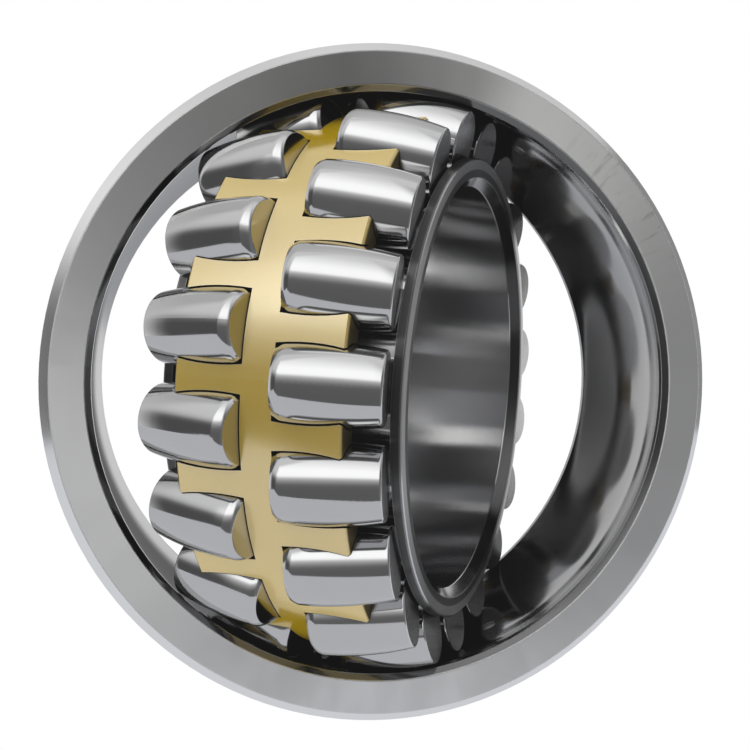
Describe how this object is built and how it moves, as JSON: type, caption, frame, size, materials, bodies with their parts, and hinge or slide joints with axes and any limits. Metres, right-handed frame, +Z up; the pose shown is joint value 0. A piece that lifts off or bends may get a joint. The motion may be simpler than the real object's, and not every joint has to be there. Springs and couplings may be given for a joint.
{
  "type": "spherical roller bearing",
  "caption": "Self-aligning double-row bearing with barrel rollers in a machined brass cage, shown with the inner ring set swivelled out of the outer ring.",
  "frame": {"origin": "centre of the bearing: the centre of the outer ring's spherical raceway, about which the inner set swivels", "axes": "Y along the outer ring's axis with the front side face towards -Y, +Z up along the swivel axis, +X to the right seen from the front"},
  "size_m": [0.225, 0.2022, 0.225],
  "materials": {
    "ground_steel": "satin ground faces, polished raceway",
    "honed_steel": "finely ground and honed hardened steel",
    "guide_iron": "turned and ground iron",
    "cage_brass": "machined satin brass",
    "roller_steel": "superfinished hardened steel"
  },
  "bodies": {
    "outer_ring": {"outer_ring": "ground_steel"},
    "guide_ring": {"guide_ring": "guide_iron"},
    "inner_ring": {"inner_ring": "honed_steel"},
    "cage": {"cage": "cage_brass"},
    "front_roller_01": {"front_roller_01": "roller_steel"},
    "front_roller_02": {"front_roller_02": "roller_steel"},
    "front_roller_03": {"front_roller_03": "roller_steel"},
    "front_roller_04": {"front_roller_04": "roller_steel"},
    "front_roller_05": {"front_roller_05": "roller_steel"},
    "front_roller_06": {"front_roller_06": "roller_steel"},
    "front_roller_07": {"front_roller_07": "roller_steel"},
    "front_roller_08": {"front_roller_08": "roller_steel"},
    "front_roller_09": {"front_roller_09": "roller_steel"},
    "front_roller_10": {"front_roller_10": "roller_steel"},
    "front_roller_11": {"front_roller_11": "roller_steel"},
    "front_roller_12": {"front_roller_12": "roller_steel"},
    "front_roller_13": {"front_roller_13": "roller_steel"},
    "front_roller_14": {"front_roller_14": "roller_steel"},
    "front_roller_15": {"front_roller_15": "roller_steel"},
    "front_roller_16": {"front_roller_16": "roller_steel"},
    "front_roller_17": {"front_roller_17": "roller_steel"},
    "front_roller_18": {"front_roller_18": "roller_steel"},
    "front_roller_19": {"front_roller_19": "roller_steel"},
    "rear_roller_01": {"rear_roller_01": "roller_steel"},
    "rear_roller_02": {"rear_roller_02": "roller_steel"},
    "rear_roller_03": {"rear_roller_03": "roller_steel"},
    "rear_roller_04": {"rear_roller_04": "roller_steel"},
    "rear_roller_05": {"rear_roller_05": "roller_steel"},
    "rear_roller_06": {"rear_roller_06": "roller_steel"},
    "rear_roller_07": {"rear_roller_07": "roller_steel"},
    "rear_roller_08": {"rear_roller_08": "roller_steel"},
    "rear_roller_09": {"rear_roller_09": "roller_steel"},
    "rear_roller_10": {"rear_roller_10": "roller_steel"},
    "rear_roller_11": {"rear_roller_11": "roller_steel"},
    "rear_roller_12": {"rear_roller_12": "roller_steel"},
    "rear_roller_13": {"rear_roller_13": "roller_steel"},
    "rear_roller_14": {"rear_roller_14": "roller_steel"},
    "rear_roller_15": {"rear_roller_15": "roller_steel"},
    "rear_roller_16": {"rear_roller_16": "roller_steel"},
    "rear_roller_17": {"rear_roller_17": "roller_steel"},
    "rear_roller_18": {"rear_roller_18": "roller_steel"},
    "rear_roller_19": {"rear_roller_19": "roller_steel"}
  },
  "joints": [
    {"name": "swivel", "type": "hinge", "parent": "outer_ring", "child": "guide_ring", "pos_m": [0, 0, 0], "axis": [0, 0, 1], "range_deg": [-61, 31]},
    {"name": "inner_ring_spin", "type": "hinge", "parent": "guide_ring", "child": "inner_ring", "pos_m": [0, 0, 0], "axis": [0.8572, -0.515, 0], "continuous": true},
    {"name": "cage_spin", "type": "hinge", "parent": "guide_ring", "child": "cage", "pos_m": [0, 0, 0], "axis": [0.8572, -0.515, 0], "continuous": true},
    {"name": "front_roller_01_spin", "type": "hinge", "parent": "cage", "child": "front_roller_01", "pos_m": [-0.02787, -0.08579, 0], "axis": [0.9511, -0.309, 0], "continuous": true},
    {"name": "front_roller_02_spin", "type": "hinge", "parent": "cage", "child": "front_roller_02", "pos_m": [-0.02542, -0.0817, -0.02854], "axis": [0.9448, -0.3195, 0.073], "continuous": true},
    {"name": "front_roller_03_spin", "type": "hinge", "parent": "cage", "child": "front_roller_03", "pos_m": [-0.01833, -0.0699, -0.05398], "axis": [0.9266, -0.3497, 0.1382], "continuous": true},
    {"name": "front_roller_04_spin", "type": "hinge", "parent": "cage", "child": "front_roller_04", "pos_m": [-0.00737, -0.05165, -0.07358], "axis": [0.8986, -0.3964, 0.1883], "continuous": true},
    {"name": "front_roller_05_spin", "type": "hinge", "parent": "cage", "child": "front_roller_05", "pos_m": [0.00628, -0.02894, -0.0852], "axis": [0.8636, -0.4545, 0.2181], "continuous": true},
    {"name": "front_roller_06_spin", "type": "hinge", "parent": "cage", "child": "front_roller_06", "pos_m": [0.02113, -0.00423, -0.08759], "axis": [0.8256, -0.5178, 0.2242], "continuous": true},
    {"name": "front_roller_07_spin", "type": "hinge", "parent": "cage", "child": "front_roller_07", "pos_m": [0.03558, 0.01981, -0.08049], "axis": [0.7887, -0.5793, 0.206], "continuous": true},
    {"name": "front_roller_08_spin", "type": "hinge", "parent": "cage", "child": "front_roller_08", "pos_m": [0.04805, 0.04057, -0.06466], "axis": [0.7567, -0.6324, 0.1655], "continuous": true},
    {"name": "front_roller_09_spin", "type": "hinge", "parent": "cage", "child": "front_roller_09", "pos_m": [0.0572, 0.0558, -0.04183], "axis": [0.7333, -0.6714, 0.1071], "continuous": true},
    {"name": "front_roller_10_spin", "type": "hinge", "parent": "cage", "child": "front_roller_10", "pos_m": [0.06204, 0.06386, -0.01447], "axis": [0.7209, -0.692, 0.037], "continuous": true},
    {"name": "front_roller_11_spin", "type": "hinge", "parent": "cage", "child": "front_roller_11", "pos_m": [0.06204, 0.06386, 0.01447], "axis": [0.7209, -0.692, -0.037], "continuous": true},
    {"name": "front_roller_12_spin", "type": "hinge", "parent": "cage", "child": "front_roller_12", "pos_m": [0.0572, 0.0558, 0.04183], "axis": [0.7333, -0.6714, -0.1071], "continuous": true},
    {"name": "front_roller_13_spin", "type": "hinge", "parent": "cage", "child": "front_roller_13", "pos_m": [0.04805, 0.04057, 0.06466], "axis": [0.7567, -0.6324, -0.1655], "continuous": true},
    {"name": "front_roller_14_spin", "type": "hinge", "parent": "cage", "child": "front_roller_14", "pos_m": [0.03558, 0.01981, 0.08049], "axis": [0.7887, -0.5793, -0.206], "continuous": true},
    {"name": "front_roller_15_spin", "type": "hinge", "parent": "cage", "child": "front_roller_15", "pos_m": [0.02113, -0.00423, 0.08759], "axis": [0.8256, -0.5178, -0.2242], "continuous": true},
    {"name": "front_roller_16_spin", "type": "hinge", "parent": "cage", "child": "front_roller_16", "pos_m": [0.00628, -0.02894, 0.0852], "axis": [0.8636, -0.4545, -0.2181], "continuous": true},
    {"name": "front_roller_17_spin", "type": "hinge", "parent": "cage", "child": "front_roller_17", "pos_m": [-0.00737, -0.05165, 0.07358], "axis": [0.8986, -0.3964, -0.1883], "continuous": true},
    {"name": "front_roller_18_spin", "type": "hinge", "parent": "cage", "child": "front_roller_18", "pos_m": [-0.01833, -0.0699, 0.05398], "axis": [0.9266, -0.3497, -0.1382], "continuous": true},
    {"name": "front_roller_19_spin", "type": "hinge", "parent": "cage", "child": "front_roller_19", "pos_m": [-0.02542, -0.0817, 0.02854], "axis": [0.9448, -0.3195, -0.073], "continuous": true},
    {"name": "rear_roller_01_spin", "type": "hinge", "parent": "cage", "child": "rear_roller_01", "pos_m": [-0.06204, -0.06386, -0.01447], "axis": [0.7209, -0.692, -0.037], "continuous": true},
    {"name": "rear_roller_02_spin", "type": "hinge", "parent": "cage", "child": "rear_roller_02", "pos_m": [-0.0572, -0.0558, -0.04183], "axis": [0.7333, -0.6714, -0.1071], "continuous": true},
    {"name": "rear_roller_03_spin", "type": "hinge", "parent": "cage", "child": "rear_roller_03", "pos_m": [-0.04805, -0.04057, -0.06466], "axis": [0.7567, -0.6324, -0.1655], "continuous": true},
    {"name": "rear_roller_04_spin", "type": "hinge", "parent": "cage", "child": "rear_roller_04", "pos_m": [-0.03558, -0.01981, -0.08049], "axis": [0.7887, -0.5793, -0.206], "continuous": true},
    {"name": "rear_roller_05_spin", "type": "hinge", "parent": "cage", "child": "rear_roller_05", "pos_m": [-0.02113, 0.00423, -0.08759], "axis": [0.8256, -0.5178, -0.2242], "continuous": true},
    {"name": "rear_roller_06_spin", "type": "hinge", "parent": "cage", "child": "rear_roller_06", "pos_m": [-0.00628, 0.02894, -0.0852], "axis": [0.8636, -0.4545, -0.2181], "continuous": true},
    {"name": "rear_roller_07_spin", "type": "hinge", "parent": "cage", "child": "rear_roller_07", "pos_m": [0.00737, 0.05165, -0.07358], "axis": [0.8986, -0.3964, -0.1883], "continuous": true},
    {"name": "rear_roller_08_spin", "type": "hinge", "parent": "cage", "child": "rear_roller_08", "pos_m": [0.01833, 0.0699, -0.05398], "axis": [0.9266, -0.3497, -0.1382], "continuous": true},
    {"name": "rear_roller_09_spin", "type": "hinge", "parent": "cage", "child": "rear_roller_09", "pos_m": [0.02542, 0.0817, -0.02854], "axis": [0.9448, -0.3195, -0.073], "continuous": true},
    {"name": "rear_roller_10_spin", "type": "hinge", "parent": "cage", "child": "rear_roller_10", "pos_m": [0.02787, 0.08579, 0], "axis": [0.9511, -0.309, 0], "continuous": true},
    {"name": "rear_roller_11_spin", "type": "hinge", "parent": "cage", "child": "rear_roller_11", "pos_m": [0.02542, 0.0817, 0.02854], "axis": [0.9448, -0.3195, 0.073], "continuous": true},
    {"name": "rear_roller_12_spin", "type": "hinge", "parent": "cage", "child": "rear_roller_12", "pos_m": [0.01833, 0.0699, 0.05398], "axis": [0.9266, -0.3497, 0.1382], "continuous": true},
    {"name": "rear_roller_13_spin", "type": "hinge", "parent": "cage", "child": "rear_roller_13", "pos_m": [0.00737, 0.05165, 0.07358], "axis": [0.8986, -0.3964, 0.1883], "continuous": true},
    {"name": "rear_roller_14_spin", "type": "hinge", "parent": "cage", "child": "rear_roller_14", "pos_m": [-0.00628, 0.02894, 0.0852], "axis": [0.8636, -0.4545, 0.2181], "continuous": true},
    {"name": "rear_roller_15_spin", "type": "hinge", "parent": "cage", "child": "rear_roller_15", "pos_m": [-0.02113, 0.00423, 0.08759], "axis": [0.8256, -0.5178, 0.2242], "continuous": true},
    {"name": "rear_roller_16_spin", "type": "hinge", "parent": "cage", "child": "rear_roller_16", "pos_m": [-0.03558, -0.01981, 0.08049], "axis": [0.7887, -0.5793, 0.206], "continuous": true},
    {"name": "rear_roller_17_spin", "type": "hinge", "parent": "cage", "child": "rear_roller_17", "pos_m": [-0.04805, -0.04057, 0.06466], "axis": [0.7567, -0.6324, 0.1655], "continuous": true},
    {"name": "rear_roller_18_spin", "type": "hinge", "parent": "cage", "child": "rear_roller_18", "pos_m": [-0.0572, -0.0558, 0.04183], "axis": [0.7333, -0.6714, 0.1071], "continuous": true},
    {"name": "rear_roller_19_spin", "type": "hinge", "parent": "cage", "child": "rear_roller_19", "pos_m": [-0.06204, -0.06386, 0.01447], "axis": [0.7209, -0.692, 0.037], "continuous": true}
  ],
  "couplings": [
    {"joint": "cage_spin", "follows": "inner_ring_spin", "ratio": 0.43182},
    {"joint": "front_roller_01_spin", "follows": "inner_ring_spin", "ratio": -3.5063},
    {"joint": "front_roller_02_spin", "follows": "inner_ring_spin", "ratio": -3.5063},
    {"joint": "front_roller_03_spin", "follows": "inner_ring_spin", "ratio": -3.5063},
    {"joint": "front_roller_04_spin", "follows": "inner_ring_spin", "ratio": -3.5063},
    {"joint": "front_roller_05_spin", "follows": "inner_ring_spin", "ratio": -3.5063},
    {"joint": "front_roller_06_spin", "follows": "inner_ring_spin", "ratio": -3.5063},
    {"joint": "front_roller_07_spin", "follows": "inner_ring_spin", "ratio": -3.5063},
    {"joint": "front_roller_08_spin", "follows": "inner_ring_spin", "ratio": -3.5063},
    {"joint": "front_roller_09_spin", "follows": "inner_ring_spin", "ratio": -3.5063},
    {"joint": "front_roller_10_spin", "follows": "inner_ring_spin", "ratio": -3.5063},
    {"joint": "front_roller_11_spin", "follows": "inner_ring_spin", "ratio": -3.5063},
    {"joint": "front_roller_12_spin", "follows": "inner_ring_spin", "ratio": -3.5063},
    {"joint": "front_roller_13_spin", "follows": "inner_ring_spin", "ratio": -3.5063},
    {"joint": "front_roller_14_spin", "follows": "inner_ring_spin", "ratio": -3.5063},
    {"joint": "front_roller_15_spin", "follows": "inner_ring_spin", "ratio": -3.5063},
    {"joint": "front_roller_16_spin", "follows": "inner_ring_spin", "ratio": -3.5063},
    {"joint": "front_roller_17_spin", "follows": "inner_ring_spin", "ratio": -3.5063},
    {"joint": "front_roller_18_spin", "follows": "inner_ring_spin", "ratio": -3.5063},
    {"joint": "front_roller_19_spin", "follows": "inner_ring_spin", "ratio": -3.5063},
    {"joint": "rear_roller_01_spin", "follows": "inner_ring_spin", "ratio": -3.5063},
    {"joint": "rear_roller_02_spin", "follows": "inner_ring_spin", "ratio": -3.5063},
    {"joint": "rear_roller_03_spin", "follows": "inner_ring_spin", "ratio": -3.5063},
    {"joint": "rear_roller_04_spin", "follows": "inner_ring_spin", "ratio": -3.5063},
    {"joint": "rear_roller_05_spin", "follows": "inner_ring_spin", "ratio": -3.5063},
    {"joint": "rear_roller_06_spin", "follows": "inner_ring_spin", "ratio": -3.5063},
    {"joint": "rear_roller_07_spin", "follows": "inner_ring_spin", "ratio": -3.5063},
    {"joint": "rear_roller_08_spin", "follows": "inner_ring_spin", "ratio": -3.5063},
    {"joint": "rear_roller_09_spin", "follows": "inner_ring_spin", "ratio": -3.5063},
    {"joint": "rear_roller_10_spin", "follows": "inner_ring_spin", "ratio": -3.5063},
    {"joint": "rear_roller_11_spin", "follows": "inner_ring_spin", "ratio": -3.5063},
    {"joint": "rear_roller_12_spin", "follows": "inner_ring_spin", "ratio": -3.5063},
    {"joint": "rear_roller_13_spin", "follows": "inner_ring_spin", "ratio": -3.5063},
    {"joint": "rear_roller_14_spin", "follows": "inner_ring_spin", "ratio": -3.5063},
    {"joint": "rear_roller_15_spin", "follows": "inner_ring_spin", "ratio": -3.5063},
    {"joint": "rear_roller_16_spin", "follows": "inner_ring_spin", "ratio": -3.5063},
    {"joint": "rear_roller_17_spin", "follows": "inner_ring_spin", "ratio": -3.5063},
    {"joint": "rear_roller_18_spin", "follows": "inner_ring_spin", "ratio": -3.5063},
    {"joint": "rear_roller_19_spin", "follows": "inner_ring_spin", "ratio": -3.5063}
  ]
}
